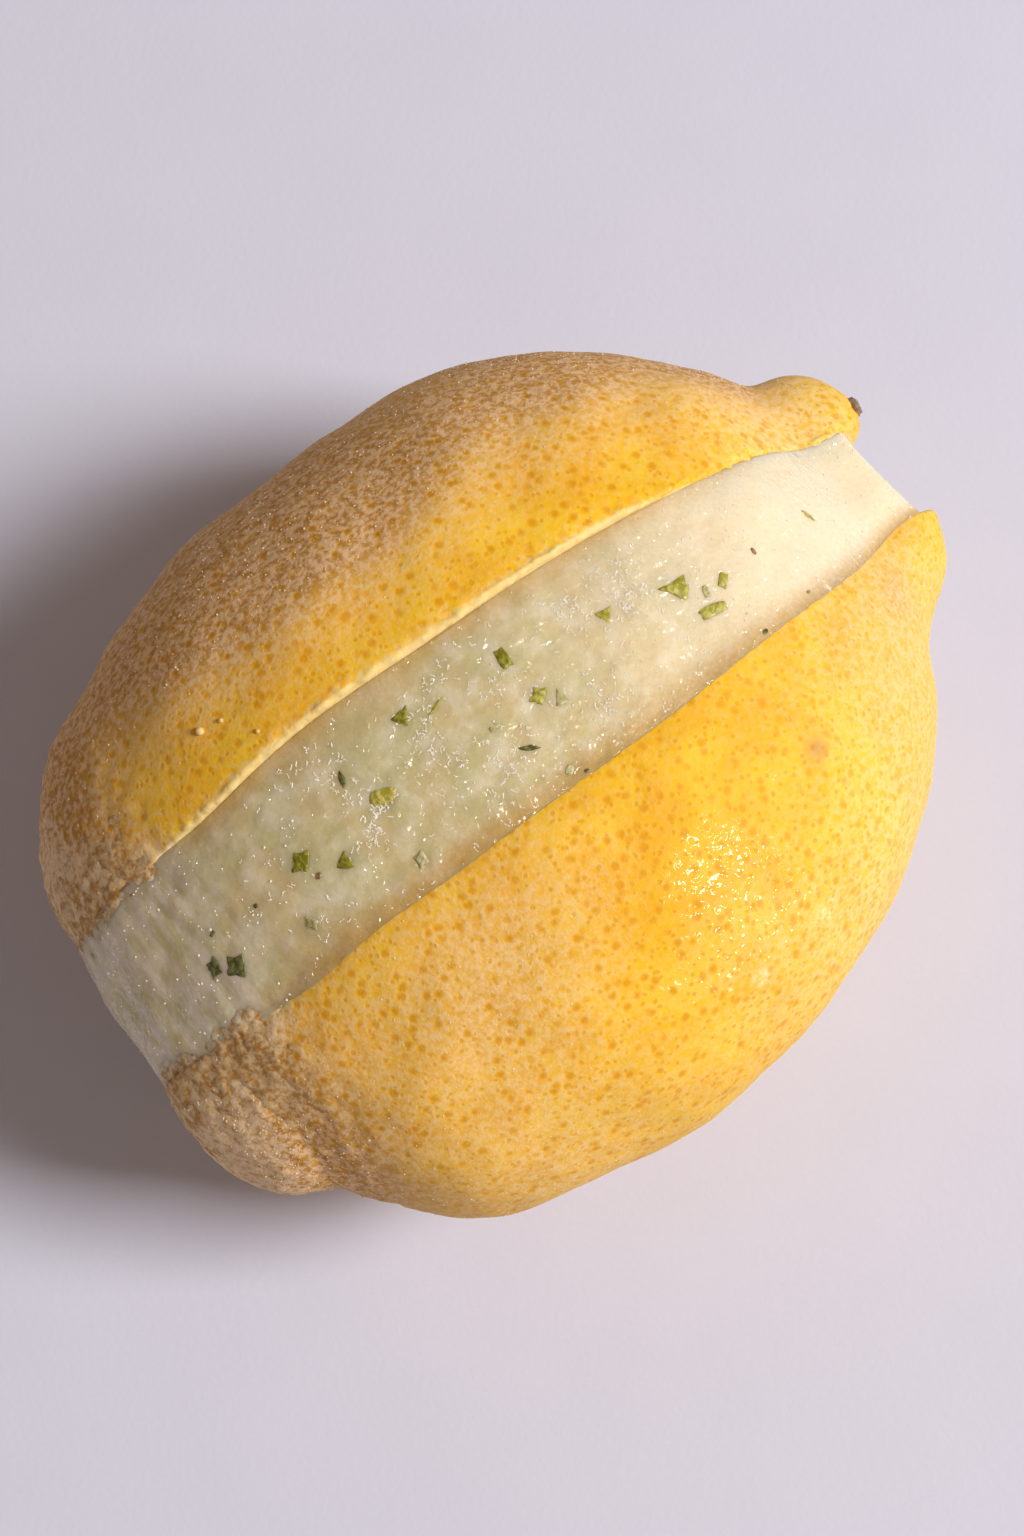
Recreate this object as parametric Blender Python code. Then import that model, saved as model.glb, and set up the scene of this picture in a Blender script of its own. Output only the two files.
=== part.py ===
"""A frozen lemon cut lengthwise into two hollow halves, with sorbet filling both and standing as a band between them.

Metres, +Z up. +X runs along the lemon to its pointed tip, +Y is on the left of that, and the origin lies on the
table under the middle of the whole. The lemon lies on its side, with the band of sorbet upright from end to end.
"""

import math
import random
from functools import partial

import bmesh
import bpy
import numpy as np
from mathutils import Matrix, Vector

MM = 0.001

# The lemon's outline runs from the blunt stem end to the button at its tip.
BODY_RADIUS = 27.7 * MM
WIDEST_X = -3.0 * MM
BODY_TO_STEM = 44.6 * MM
BODY_TO_TIP = 42.4 * MM
STEM_X = -46.3 * MM
BUTTON_X = 31.3 * MM
BUTTON_LENGTH = 15.0 * MM
BUTTON_RADIUS = 9.3 * MM
BUTTON_BLEND = 1.8 * MM
CORNER_ROUNDING = 2.0 * MM

# The cut: half of the gap between the two rims, how much it narrows to either end, and how far the middle bows.
HALF_GAP = 9.3 * MM
NARROWS_TO_STEM = 1.2 * MM
NARROWS_TO_TIP = 3.9 * MM
BOW = -1.7 * MM
HALF_LENGTH = 46.3 * MM
RIM_ROUNDING = 0.5 * MM
LEFT_TIP_ROUNDING = 1.8 * MM
RIGHT_TIP_ROUNDING = 0.5 * MM
TIP_ROUNDING_REACH = 3.0 * MM

# The hollow in each half: an oval about 4 mm inside the skin, which leaves the button solid.
HOLLOW_RADIUS = 23.7 * MM
HOLLOW_TO_STEM = 39.5 * MM
HOLLOW_TO_TIP = 38.0 * MM

# The sorbet: its clearance to the peel, how far it lies under each rim, its crown, and where it ends at the tip.
CLEARANCE = 0.3 * MM
UNDER_LEFT_RIM = 1.0 * MM
UNDER_RIGHT_RIM = 1.8 * MM
CROWN = 0.5 * MM
LEFT_RIM_FLUSH_X = 30.0 * MM
FLUSH_FADE = 3.0 * MM
STEM_FLUSH_X = -42.0 * MM
SORBET_TIP_X = 43.0 * MM
SORBET_TIP_SLANT = 0.8 * MM
SORBET_TIP_DIP = 0.5 * MM

# The lemon lies on a small flat spot, this deep in its underside, and the origin is under the middle of its box.
FOOT_DEPTH = 0.5 * MM
AXIS_HEIGHT = BODY_RADIUS - FOOT_DEPTH
MIDDLE_X = -0.5 * MM
MIDDLE_Y = -2.1 * MM

# Swellings and hollows along each half's flank: place along the lemon, reach and height, in mm.
LEFT_SWELLINGS = ((-36, 6, 0.7), (13, 10, 1.8), (27, 8, 1.4), (36.5, 3, 0.9), (41.5, 3.5, 2.0), (46.5, 2.5, 0.3))
RIGHT_SWELLINGS = ((-44, 3, 0.8), (-38, 4, -0.5), (-27, 9, 1.9), (-8, 12, 1.5), (20, 12, 0.3), (42, 3.5, -0.8))
RIGHT_STEM_SWELLING = ((-47, 4, 1.5),)
STEM_BULGE = ((-47, 4, 0.8),)

# Where each rim stands further from the middle than the plain curve, or nearer to it, told the same way.
LEFT_RIM_SHIFTS = ((-32, 6, -0.3), (-18, 9, 0.6), (22, 10, -0.2), (40, 5, -0.6))
RIGHT_RIM_SHIFTS = ((-42, 5, 0.4), (-32, 6, 1.1), (-18, 9, 0.4), (22, 10, -0.3), (40, 5, -1.1))
LUMP_HEIGHT = 0.2 * MM
LUMP_LENGTH = 15.0 * MM

# Leaf flecks on top of the band, largest first: mm along the lemon, place across the band from -1 at the right rim
# to +1 at the left rim, length and width in mm, and how far it is turned from the lemon's line, in degrees.
TOP_FLECKS = (
    (16.0, 0.00, 3.2, 2.5, 110),
    (-26.0, -0.05, 2.8, 2.0, 10),
    (17.5, -0.40, 2.7, 1.5, -10),
    (-36.0, -0.45, 2.6, 2.4, 30),
    (-17.0, 0.00, 2.6, 1.6, 0),
    (-11.5, 0.50, 2.2, 1.8, 35),
    (-37.7, -0.32, 2.1, 1.6, 90),
    (-0.5, -0.10, 2.0, 1.7, 40),
    (-23.0, -0.30, 2.0, 1.7, 60),
    (9.0, 0.20, 1.8, 1.6, 0),
    (-4.0, -0.45, 1.8, 1.3, 130),
    (-1.0, 0.40, 1.8, 1.5, 90),
    (-28.5, -0.55, 1.8, 1.4, 110),
    (-17.5, -0.70, 1.7, 1.3, 40),
    (1.0, -0.25, 1.6, 1.5, 80),
    (-8.5, 0.40, 1.6, 1.2, 15),
    (32.0, -0.05, 1.6, 0.9, 120),
    (-19.0, 0.35, 1.6, 1.0, 70),
    (20.0, -0.20, 1.5, 1.1, 20),
)
HIDDEN_FLECKS = 12
FLECK_SEED = 7
FLECK_SPACING = 6.0 * MM
FLECK_EDGE = 0.75
FLECK_CLEAR_OF_TABLE = 3.0 * MM
FLECK_THICKNESS = 0.9 * MM
FLECK_STANDS = 0.3 * MM
FLECK_SIDES = 5

# Points round the cut rim, and rings of points on the skin, in the hollow and across the band.
ROUND_THE_RIM = 64
SKIN_RINGS = 16
HOLLOW_RINGS = 6
BAND_RINGS = 8
PROFILE_STEPS = 600
BEND_SPACING = 9.0 * MM


def skin_radius(x):
    """Radius of the whole lemon at x: an oval body blended into the button at its tip."""
    reach = np.where(x < WIDEST_X, BODY_TO_STEM, BODY_TO_TIP)
    body = BODY_RADIUS * np.sqrt(np.clip(1 - ((x - WIDEST_X) / reach) ** 2, 0, 1))
    button = BUTTON_RADIUS * np.sqrt(np.clip(1 - np.abs((x - BUTTON_X) / BUTTON_LENGTH) ** 3, 0, 1))
    return 0.5 * (body + button + np.hypot(body - button, BUTTON_BLEND))


def rounded(values, reach, mirror):
    """A run of values averaged with its neighbours, and carried on beyond both ends as mirror times itself."""
    weight = np.hanning(2 * reach + 3)[1:-1]
    longer = np.concatenate([mirror * values[reach:0:-1], values, mirror * values[-2 : -reach - 2 : -1]])
    return np.convolve(longer, weight / weight.sum(), "valid")


def make_profile():
    """The outline above the axis from stem to tip: x, radius, outward normal, and a walk from 0 to pi along it.

    The walk goes slower where the outline bends, so that points spread evenly over it stand closer there.
    """
    tip_x = BUTTON_X + BUTTON_LENGTH
    turn = np.linspace(0, math.pi, PROFILE_STEPS + 1)
    x = 0.5 * (STEM_X + tip_x) - 0.5 * (tip_x - STEM_X) * np.cos(turn)
    radius = skin_radius(x)
    radius[0] = radius[-1] = 0
    walked = np.concatenate([[0], np.cumsum(np.hypot(np.diff(x), np.diff(radius)))])
    even = np.linspace(0, walked[-1], PROFILE_STEPS + 1)
    reach = round(CORNER_ROUNDING / even[1])
    x = rounded(np.interp(even, walked, x), reach, 1)
    radius = rounded(np.interp(even, walked, radius), reach, -1)
    heading = np.unwrap(np.arctan2(np.gradient(radius), np.gradient(x)))
    pace = np.hypot(np.gradient(x), np.gradient(radius)) + BEND_SPACING * np.abs(np.gradient(heading))
    walk = np.concatenate([[0], np.cumsum(0.5 * (pace[1:] + pace[:-1]))])
    return x, radius, -np.sin(heading), np.cos(heading), math.pi * walk / walk[-1]


PROFILE_X, PROFILE_RADIUS, NORMAL_X, NORMAL_RADIUS, PROFILE_WALK = make_profile()


def profile_at(walk, raised):
    """x and radius on the outline at a point of the walk, raised from it along its normal by a function of both."""
    x = np.interp(walk, PROFILE_WALK, PROFILE_X)
    radius = np.interp(walk, PROFILE_WALK, PROFILE_RADIUS)
    height = raised(x, radius)
    x = x + height * np.interp(walk, PROFILE_WALK, NORMAL_X)
    return x, max(radius + height * np.interp(walk, PROFILE_WALK, NORMAL_RADIUS), 0.0)


def along_lemon(x, waves):
    """The sum at x of soft waves, each told in mm by its place along the lemon, its reach and its height."""
    return sum(height * MM * math.exp(-(((x / MM - at) / reach) ** 2)) for at, reach, height in waves)


def half_gap(x, side):
    """How far the rim on one side of the band stands from the middle line at x."""
    narrows = NARROWS_TO_TIP if x > 0 else NARROWS_TO_STEM
    shifts = LEFT_RIM_SHIFTS if side > 0 else RIGHT_RIM_SHIFTS
    return HALF_GAP - narrows * (x / HALF_LENGTH) ** 2 + along_lemon(x, shifts)


def bow(x):
    """How far to the left the lemon's middle line lies at x."""
    return BOW * (1 - ((x - WIDEST_X) / HALF_LENGTH) ** 2)


def lumps(x, y, z):
    """The unevenness of a real lemon and of what fills it, as slow waves through space."""
    a, b, c = (2 * math.pi * value / LUMP_LENGTH for value in (x, y, z))
    return LUMP_HEIGHT * (math.sin(a + 1.6 * math.sin(0.7 * b)) + math.sin(0.8 * c + 1.1 * b + math.sin(0.9 * a)))


def placed(x, radius, around, side, out=0.0):
    """A point by its x, radius and angle from the top round a half's own axis, and its distance out of the cut."""
    y = side * (half_gap(x, side) + out + radius * math.sin(around)) + bow(x)
    return Vector((x - MIDDLE_X, y - MIDDLE_Y, max(AXIS_HEIGHT + radius * math.cos(around), 0.0)))


def directions(round_rim, up_flank):
    """The walk from the stem and the angle round the axis, from the angles round the rim and up the flank."""
    walk = math.acos(max(-1.0, min(1.0, math.cos(up_flank) * math.cos(round_rim))))
    return walk, math.atan2(math.sin(up_flank), math.cos(up_flank) * math.sin(round_rim))


def rim_rounding(x, side):
    """Radius of the rim's edge at x: it is softer at the tip."""
    more = LEFT_TIP_ROUNDING if side > 0 else RIGHT_TIP_ROUNDING
    return RIM_ROUNDING + more * math.exp(-(((x - HALF_LENGTH) / TIP_ROUNDING_REACH) ** 2))


def skin_point(round_rim, up_flank, side, inset=0.0, out=0.0):
    """A point of a half's skin with its swellings and lumps; inset and out are in units of the rim's rounding."""
    walk, around = directions(round_rim, up_flank)
    swellings = LEFT_SWELLINGS if side > 0 else RIGHT_SWELLINGS

    def raised(x, radius):
        y, z = side * radius * math.sin(around), radius * math.cos(around)
        height = along_lemon(x, swellings) * math.sin(around) ** 2 + lumps(x, y, z)
        if side < 0:
            height += along_lemon(x, RIGHT_STEM_SWELLING)
        return height - inset * rim_rounding(x, side)

    x, radius = profile_at(walk, raised)
    return placed(x, radius, around, side, out * rim_rounding(x, side))


def hollow_point(round_rim, up_flank, side, inset=0.0, out=0.0):
    """A point of the hollow in a half, or of the sorbet that fills it, which lies inset in it."""
    walk, around = directions(round_rim, up_flank)
    reach = (HOLLOW_TO_STEM if walk < math.pi / 2 else HOLLOW_TO_TIP) - inset
    radius = (HOLLOW_RADIUS - inset) * math.sin(walk)
    return placed(WIDEST_X - reach * math.cos(walk), radius, around, side, out)


def under_rim(x, across):
    """How far the band lies under the skin's line: more near its two rims, and level with the left rim at the tip."""
    if across > 0:
        under = UNDER_LEFT_RIM / (1 + math.exp((x - LEFT_RIM_FLUSH_X) / FLUSH_FADE))
    else:
        under = UNDER_RIGHT_RIM
    under /= 1 + math.exp((STEM_FLUSH_X - x) / FLUSH_FADE)
    return under * abs(across) ** 3 - CROWN * (1 - across**2)


def band_point(round_rim, across):
    """A point of the band's outer surface, where across is -1 at the right rim and +1 at the left rim."""
    walk, around = directions(round_rim, 0.0)

    def raised(x, radius):
        height = lumps(x, across * HALF_GAP, radius * math.cos(around)) - under_rim(x, across)
        return height + along_lemon(x, STEM_BULGE) * (1 - 0.5 * across)

    x, radius = profile_at(walk, raised)
    x = min(x, SORBET_TIP_X - SORBET_TIP_SLANT * across - SORBET_TIP_DIP * (1 - across**2))
    point = placed(x, radius, around, 0)
    point.y += across * (half_gap(x, across) - CLEARANCE)
    return point


def pulled_sphere(name, rings, material, collection):
    """A UV sphere with each ring of its points pulled onto the outline given for it, from one pole to the other."""
    shape = bmesh.new()
    steps = len(rings) - 1
    bmesh.ops.create_uvsphere(shape, u_segments=ROUND_THE_RIM, v_segments=steps, radius=1)
    for vert in shape.verts:
        ring = round(steps * math.acos(max(-1.0, min(1.0, vert.co.z))) / math.pi)
        vert.co = rings[ring](math.atan2(vert.co.y, vert.co.x))
    return finished(name, shape, material, collection)


def finished(name, shape, material, collection):
    """An object made from a closed bmesh: its faces turned outwards, shaded smooth apart from its sharp edges."""
    if shape.calc_volume(signed=True) < 0:
        bmesh.ops.reverse_faces(shape, faces=shape.faces)
    mesh = bpy.data.meshes.new(name)
    shape.to_mesh(mesh)
    shape.free()
    mesh.shade_smooth()
    mesh.set_sharp_from_angle(angle=math.radians(40))
    mesh.materials.append(material)
    piece = bpy.data.objects.new(name, mesh)
    collection.objects.link(piece)
    return piece


def make_peel(name, side, material, collection):
    """One half of the lemon: skin, a rounded rim, the cut face, and the hollow."""
    quarter = math.pi / 2
    skin = [partial(skin_point, up_flank=quarter * (1 - k / SKIN_RINGS), side=side) for k in range(SKIN_RINGS)]
    rim = [
        partial(skin_point, up_flank=0.0, side=side, inset=1 - math.cos(turn), out=1 - math.sin(turn))
        for turn in (0.0, quarter / 2, quarter)
    ]
    hollow = [partial(hollow_point, up_flank=quarter * k / HOLLOW_RINGS, side=side) for k in range(HOLLOW_RINGS + 1)]
    return pulled_sphere(name, skin + rim + hollow, material, collection)


def make_sorbet(name, material, collection):
    """The filling of both hollows and the band between them, in one body."""
    quarter = math.pi / 2
    cores = {}
    for side in (-1, 1):
        cores[side] = [
            partial(
                hollow_point,
                up_flank=quarter * k / HOLLOW_RINGS,
                side=side,
                inset=CLEARANCE,
                out=0.0 if k else -CLEARANCE,
            )
            for k in range(HOLLOW_RINGS + 1)
        ]
    band = [partial(band_point, across=2 * k / BAND_RINGS - 1) for k in range(BAND_RINGS + 1)]
    return pulled_sphere(name, cores[-1][::-1] + band + cores[1], material, collection)


def round_rim_at(x):
    """The angle round the rim, over the top, at which the outline reaches x."""
    return float(np.interp(x, PROFILE_X, PROFILE_WALK))


def fleck_places(rng):
    """Every fleck: angle round the rim, place across the band, length, width and turn."""
    places = [(round_rim_at(x * MM), across, size * MM, width * MM, turn) for x, across, size, width, turn in TOP_FLECKS]
    stands = [band_point(place[0], place[1]) for place in places]
    while len(places) < len(TOP_FLECKS) + HIDDEN_FLECKS:
        place = (
            rng.uniform(math.pi, 2 * math.pi),
            rng.uniform(-FLECK_EDGE, FLECK_EDGE),
            rng.uniform(1.6, 2.6) * MM,
            rng.uniform(1.2, 1.8) * MM,
            rng.uniform(0, 180),
        )
        point = band_point(place[0], place[1])
        if point.z > FLECK_CLEAR_OF_TABLE and min((point - other).length for other in stands) > FLECK_SPACING:
            places.append(place)
            stands.append(point)
    return places


def make_flecks(material, collection):
    """Flat scraps of leaf, each sunk part of its thickness into the band."""
    rng = random.Random(FLECK_SEED)
    for number, (round_rim, across, length, width, turn) in enumerate(fleck_places(rng)):
        point = band_point(round_rim, across)
        along = (band_point(round_rim - 0.02, across) - band_point(round_rim + 0.02, across)).normalized()
        over = (band_point(round_rim, across + 0.05) - band_point(round_rim, across - 0.05)).normalized()
        up = over.cross(along).normalized()
        over = along.cross(up)
        stands = Matrix((along, -over, up)).transposed().to_4x4()
        stands.translation = point + up * (FLECK_STANDS - FLECK_THICKNESS / 2)
        shape = bmesh.new()
        bmesh.ops.create_cone(
            shape, segments=FLECK_SIDES, radius1=0.55, radius2=0.45, depth=1.0, cap_ends=True, cap_tris=False
        )
        stretch = [rng.uniform(0.8, 1.15) for _ in range(FLECK_SIDES)]
        for vert in shape.verts:
            corner = round(math.atan2(vert.co.y, vert.co.x) / (2 * math.pi / FLECK_SIDES)) % FLECK_SIDES
            vert.co.x *= stretch[corner] * length
            vert.co.y *= stretch[corner] * width
            vert.co.z *= FLECK_THICKNESS
        shape.transform(stands @ Matrix.Rotation(math.radians(turn), 4, "Z"))
        finished(f"fleck_{number}", shape, material, collection)


def fuse(piece, additions):
    """Join every object of a collection to a piece by one Boolean, and remove the collection with its objects."""
    union = piece.modifiers.new("flecks", "BOOLEAN")
    union.operation = "UNION"
    union.operand_type = "COLLECTION"
    union.collection = additions
    union.solver = "EXACT"
    evaluated = piece.evaluated_get(bpy.context.evaluated_depsgraph_get())
    joined = bpy.data.meshes.new_from_object(evaluated)
    piece.modifiers.clear()
    piece.data = joined
    for extra in list(additions.objects):
        bpy.data.objects.remove(extra)
    bpy.data.collections.remove(additions)


def make_material(name, colour, roughness):
    """A plain food surface."""
    material = bpy.data.materials.new(name)
    material.use_nodes = True
    shader = material.node_tree.nodes["Principled BSDF"]
    shader.inputs["Base Color"].default_value = (*colour, 1)
    shader.inputs["Roughness"].default_value = roughness
    shader.inputs["Metallic"].default_value = 0.0
    return material


def new_collection(name):
    """A collection in the scene."""
    collection = bpy.data.collections.new(name)
    bpy.context.scene.collection.children.link(collection)
    return collection


def main():
    for old in list(bpy.data.objects):
        bpy.data.objects.remove(old)
    whole = new_collection("sorbet_cup")
    flecks = new_collection("leaf_flecks")
    peel = make_material("frozen lemon peel", (0.80, 0.46, 0.07), 0.5)
    ice = make_material("pale green sorbet", (0.72, 0.70, 0.52), 0.4)
    leaf = make_material("chopped green leaf", (0.16, 0.30, 0.03), 0.6)
    make_peel("peel_left", 1, peel, whole)
    make_peel("peel_right", -1, peel, whole)
    sorbet = make_sorbet("sorbet", ice, whole)
    make_flecks(leaf, flecks)
    fuse(sorbet, flecks)


main()
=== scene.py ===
"""Looks of a frozen lemon cut lengthwise into two hollow halves, with a band of pale sorbet between them.

Metres, in the model's own frame: +X along the lemon to its pointed tip, +Y to the left of that, +Z up. A side
is 1 for the left half, the far one in the picture, and -1 for the right one.
"""

import math
import random

import bmesh
import bpy
import numpy as np
from mathutils import Matrix, Vector, noise
from mathutils.bvhtree import BVHTree


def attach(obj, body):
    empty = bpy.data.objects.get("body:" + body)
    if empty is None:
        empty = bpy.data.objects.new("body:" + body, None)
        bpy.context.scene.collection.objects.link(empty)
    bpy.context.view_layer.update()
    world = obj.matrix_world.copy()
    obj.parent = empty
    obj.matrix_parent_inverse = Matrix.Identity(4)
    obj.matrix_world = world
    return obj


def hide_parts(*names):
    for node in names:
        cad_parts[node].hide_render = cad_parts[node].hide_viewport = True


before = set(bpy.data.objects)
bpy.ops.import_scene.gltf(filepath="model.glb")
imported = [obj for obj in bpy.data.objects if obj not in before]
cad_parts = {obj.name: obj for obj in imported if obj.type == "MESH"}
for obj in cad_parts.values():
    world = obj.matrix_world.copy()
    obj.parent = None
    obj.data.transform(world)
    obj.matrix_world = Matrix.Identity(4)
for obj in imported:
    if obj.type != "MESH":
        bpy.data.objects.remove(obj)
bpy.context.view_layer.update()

MM = 0.001
QUARTER = math.pi / 2

# The lemon's outline, in mm, as the solids have it.
BODY_RADIUS, WIDEST_X, BODY_TO_STEM, BODY_TO_TIP, STEM_X = 27.7, -3.0, 44.6, 42.4, -46.3
BUTTON_X, BUTTON_LENGTH, BUTTON_RADIUS, BUTTON_BLEND, CORNER_ROUNDING = 31.3, 15.0, 9.3, 1.8, 2.0
HALF_GAP, NARROWS_TO_STEM, NARROWS_TO_TIP, BOW, HALF_LENGTH = 9.3, 1.2, 3.9, -1.7, 46.3
RIM_ROUNDING, TIP_ROUNDING, TIP_ROUNDING_REACH = {1: 0.5, -1: 0.07}, {1: 1.8, -1: 0.5}, 3.0
HOLLOW_RADIUS, HOLLOW_TO_STEM, HOLLOW_TO_TIP = 23.7, 39.5, 38.0
CLEARANCE, OVERLAP, CROWN = 0.3, 0.1, 0.5
UNDER_RIM, LEFT_RIM_FLUSH_X, FLUSH_FADE = {1: 1.0, -1: 0.0}, 27.0, 3.0
STEM_FLUSH_X, STEM_FLUSH_FADE = {1: -34.0, -1: -37.0}, 1.2
SORBET_TIP_X, SORBET_TIP_SLANT, SORBET_TIP_DIP = 43.0, 0.8, 0.5
AXIS_HEIGHT, MIDDLE_X, MIDDLE_Y = 27.2, -0.5, -2.1
SWELLINGS = {
    1: ((-36, 6, 0.7), (13, 10, 1.8), (27, 8, 1.4), (36.5, 3, 0.9), (41.5, 3.5, 2.0), (46.5, 2.5, 0.3)),
    -1: ((-44, 3, 0.8), (-38, 4, -0.5), (-27, 9, 1.9), (-8, 12, 1.5), (20, 12, 0.3), (42, 3.5, -0.8)),
}
RIGHT_STEM_SWELLING = ((-47, 4, 1.5),)
STEM_BULGE, STEM_BULGE_LEANS_RIGHT = ((-47, 4, 0.8),), 0.5
RIM_SHIFTS = {
    1: ((-32, 6, -0.3), (-18, 9, 0.6), (22, 10, -0.2), (40, 5, -0.6)),
    -1: ((-42, 5, 0.4), (-32, 6, 1.1), (-18, 9, 0.4), (22, 10, -0.3), (40, 5, -1.1)),
}
LUMP_HEIGHT, LUMP_LENGTH, PROFILE_STEPS, BEND_SPACING = 0.12, 15.0, 3000, 9.0

# Both rims end under the stem's frost, and the far one merges into the sorbet near the tip.
RIMS_END_X, RIMS_END_FADE, RIM_SHARPER_AT_STEM = -34.5, 1.0, 0.85
FAR_RIM_MERGES_X, FAR_RIM_MERGES_FADE = 19.0, 2.5

# Points round the rim, and rings on the skin, the rounded rim, the cut face, the hollow and the band.
ROUND_THE_RIM = 540
SKIN_RINGS, RIM_RINGS, FACE_RINGS, HOLLOW_RINGS, BAND_RINGS = 128, 5, 3, 10, 76

# Sizes of the surface detail, in mm. The felt's needles are about 0.1 mm, too fine to show, so it is
# drawn in coarser clumps.
FELT_CLUMP_SIZE = 0.7
BIG_PORE_SPACING, BIG_PORE_RADIUS = 1.55, 0.6
SMALL_PORE_SPACING, SMALL_PORE_RADIUS = 0.9, 0.3
PEBBLE_SIZE, PEBBLE_HEIGHT = 2.6, 0.1
RIM_CRUMB_SIZE, RIM_CRUMB_HEIGHT = 0.8, {1: 0.45, -1: 0.0675}
STEM_RIME_SIZE, STEM_RIME_HEIGHT, STEM_RIME_STRETCH = 1.2, 0.2, (1.0, 0.3, 0.3)
KNOB_GROOVE_X, KNOB_GROOVE_REACH, KNOB_GROOVE_DEPTH = -40.0, 1.5, 0.4
KNOB_FOLD_SIZE, KNOB_FOLD_HEIGHT, KNOB_FOLD_STRETCH, KNOB_FOLDS_REACH = 1.4, 0.25, (1.0, 0.2, 0.2), 4.0
ICE_LUMP_SIZE, ICE_LUMP_HEIGHT = 2.2, 0.14
ICE_GRAIN_SIZE, ICE_GRAIN_HEIGHT = 0.7, 0.07

# Where the halves carry frost, whose tan on the far half is partly painted shade, wet shine, paler and coarser
# skin, and one healed scar: a value all over, then patches, each with its mm along the lemon, its place up the
# flank from 0 at the rim to 1 at the side, two reaches and what it adds.
FROST_LEFT = (
    (-14, 0.4, 29, 0.26, 0.75),
    (-10, 0.8, 30, 0.25, 0.45),
    (-44, 0.3, 7, 1.0, 0.6),
    (24, 0.55, 12, 0.3, 0.5),
    (37, 0.5, 6, 0.35, 0.6),
)
FROST_RIGHT = (
    (-18, 0.2, 15, 0.22, 0.26),
    (-43, 0.3, 8, 1.2, 0.58),
    (-26, 0.7, 16, 0.3, 0.26),
    (31, 0.3, 9, 0.4, 0.2),
    (36.5, 0.12, 4, 0.12, 0.18),
    (3, 0.5, 18, 0.35, -0.13),
)
PALE_LEFT = ((38, 0.3, 8, 0.5, 1.0), (28, 0.15, 8, 0.25, 0.15))
PALE_RIGHT = (
    (20, 0.75, 26, 0.4, 0.6),
    (36, 0.2, 12, 0.5, 0.4),
    (11, 0.6, 0.9, 0.02, 1.0),
    (2.1, 0.6, 0.8, 0.02, 1.0),
)
MASKS = {
    "frost": {1: (0.04, FROST_LEFT), -1: (0.14, FROST_RIGHT)},
    "wet": {1: (0.0, ()), -1: (0.0, ((3.5, 0.42, 7.5, 0.2, 0.95),))},
    "pale": {1: (0.0, PALE_LEFT), -1: (0.0, PALE_RIGHT)},
    "coarse": {1: (1.0, ((45, 0.5, 14, 2.0, -0.3),)), -1: (1.0, ((40, 0.5, 26, 2.0, -0.6),))},
    "scar": {1: (0.0, ()), -1: (0.0, ((18.2, 0.265, 1.1, 0.025, 0.6),))},
}

# How far pith, frost and crumbs come up the flank from the rim, and where the skin's own relief starts there.
PITH_BESIDE_CUT, PITH_REACH, RIM_CRUMB_REACH, SKIN_STARTS, CUT_FROM = 0.8, 0.028, 0.02, 0.03, 0.99
# Rime's reach up the flank at the stem end; on the stem's knob a paler tan, partly rime and partly painted
# light, with its strength, the x where it starts and its fade; and the most of both together.
RIME_REACH, KNOB_LIGHT_AND_FROST, KNOB_LIGHT_AND_FROST_X, KNOB_LIGHT_AND_FROST_FADE, RIME_MOST = 0.07, 0.5, -41.5, 0.8, 0.6

# Across the band, from -1 at the right rim to 1 at the left: yellow-brown painted shade beside the rims and at
# the stem end, with its reach and strength. Along it, in mm: where it turns to cream, gets smooth and carries
# white threads as painted glints.
RIM_SHADE_FAR, RIM_SHADE_NEAR, RIM_SHADE_STEM = (0.18, 0.5), (0.22, 0.75), (0.15, 0.3)
RIM_SHADE_ENDS_X, RIM_SHADE_FADE, STEM_ICE_FADE, BAND_EDGE = FAR_RIM_MERGES_X + 6, 3.0, 1.5, 0.06
CREAM_X, CREAM_FADE, SMOOTH_X, SMOOTH_FADE, SMOOTHED = 14.0, 7.0, 26.0, 2.0, 0.98
GLINTS_FROM_X, GLINTS_TO_X, GLINTS_FADE, GLINTS_REACH, GLINTS_ABOVE = -22.0, 13.0, 3.0, 0.75, 40.0
GLINT_CLUSTER_SIZE, GLINTS_BETWEEN_CLUSTERS = 4.0, 0.35
# White grains on the sorbet: clumps of painted glints, each at an mm along and a place across, their reach and
# width; and how many grains lie all over, in those clumps and in the stem's frost.
GLINT_CLUMPS = ((-28.5, 0.15), (-32.5, -0.15), (-25.5, 0.3), (-27.0, 0.0))
CLUMP_REACH, CLUMP_WIDTH = 0.7, 0.08
GRAINS_ALL_OVER, GRAINS_IN_GLINT_CLUMPS, CRYSTALS_AT_STEM = 0.1, 4.0, 0.15


def soft_step(x, at, reach):
    """A soft change at a place from 0 to 1, or from 1 to 0 where the reach is negative."""
    return 1 / (1 + np.exp((at - x) / reach))


def bell(x, at, reach):
    """A soft wave that is 1 at a place and fades over its reach to either side."""
    return np.exp(-(((x - at) / reach) ** 2))


def along_lemon(x, waves):
    """The sum at x of soft waves, each told by its place along the lemon, its reach and its height."""
    return sum(height * bell(x, at, reach) for at, reach, height in waves)


def skin_radius(x):
    """Radius of the whole lemon at x: an oval body blended into the button at its tip."""
    reach = np.where(x < WIDEST_X, BODY_TO_STEM, BODY_TO_TIP)
    body = BODY_RADIUS * np.sqrt(np.clip(1 - ((x - WIDEST_X) / reach) ** 2, 0, 1))
    button = BUTTON_RADIUS * np.sqrt(np.clip(1 - np.abs((x - BUTTON_X) / BUTTON_LENGTH) ** 3, 0, 1))
    return 0.5 * (body + button + np.hypot(body - button, BUTTON_BLEND))


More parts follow.
